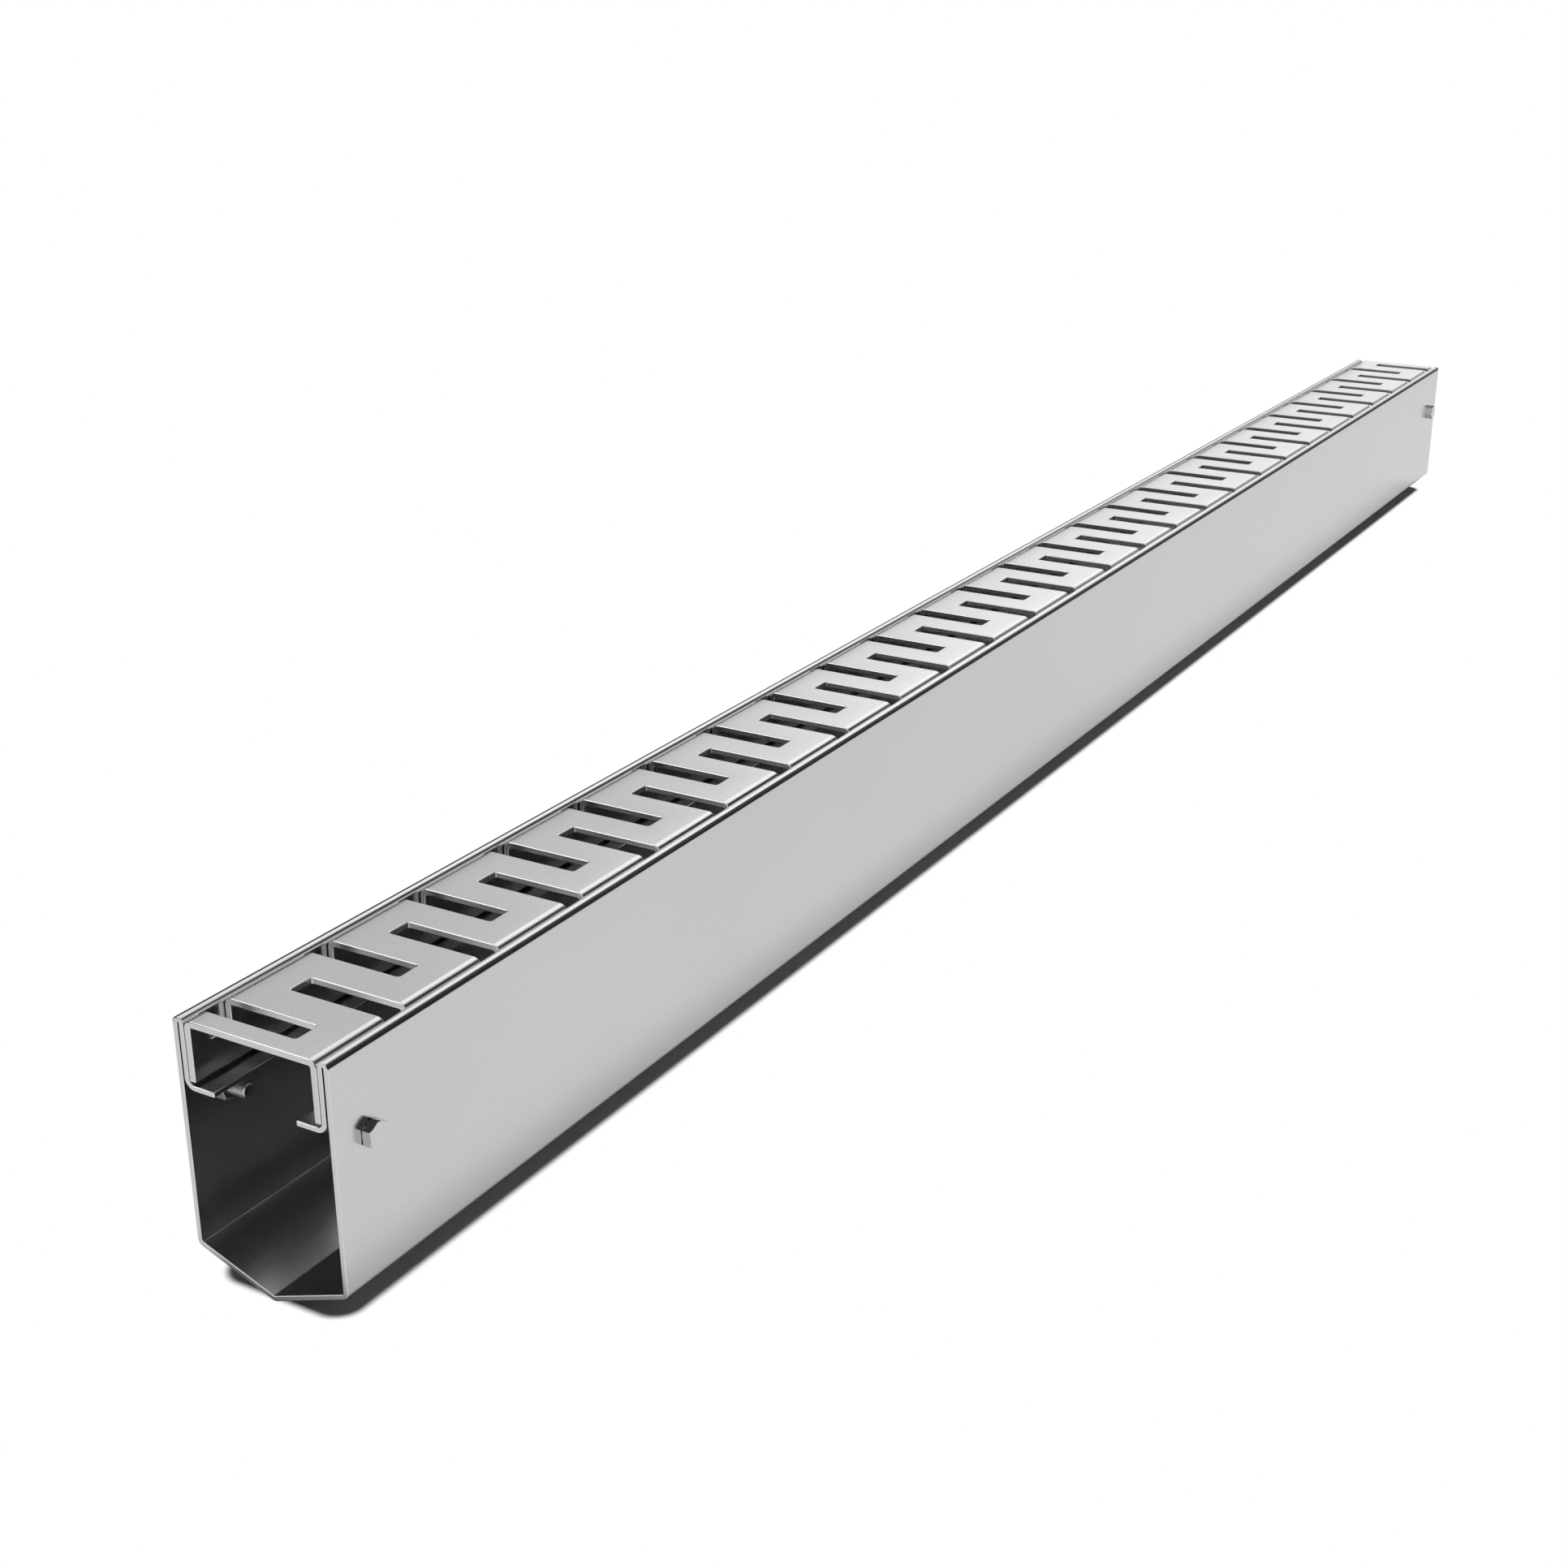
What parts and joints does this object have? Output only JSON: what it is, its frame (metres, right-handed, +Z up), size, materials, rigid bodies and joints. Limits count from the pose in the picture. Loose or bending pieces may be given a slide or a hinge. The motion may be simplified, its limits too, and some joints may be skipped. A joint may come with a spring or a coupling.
{
  "type": "deck drain",
  "caption": "Slim stainless deck drain: folded channel with a V bottom and hemmed edges, a drop-in grate with slots cut from alternate edges, and hex bolts with nuts through both side walls.",
  "frame": {"origin": "under the middle of the length, on the lowest line of the V-shaped bottom", "axes": "+X along the drain from the near end to the far end, +Y to the left wall, +Z up to the grate"},
  "size_m": [1, 0.0556, 0.0747],
  "materials": {
    "channel_sheet": "satin stainless steel sheet, faintly grained along the length",
    "grate_sheet": "satin stainless steel sheet with rounded cut edges",
    "fasteners": "plain stainless steel, faintly turned end faces"
  },
  "bodies": {
    "root": {"channel": "channel_sheet", "grate": "grate_sheet", "bolt_near_right": "fasteners", "bolt_near_left": "fasteners", "bolt_far_right": "fasteners", "bolt_far_left": "fasteners", "nut_near_right": "fasteners", "nut_near_left": "fasteners", "nut_far_right": "fasteners", "nut_far_left": "fasteners"}
  },
  "joints": []
}
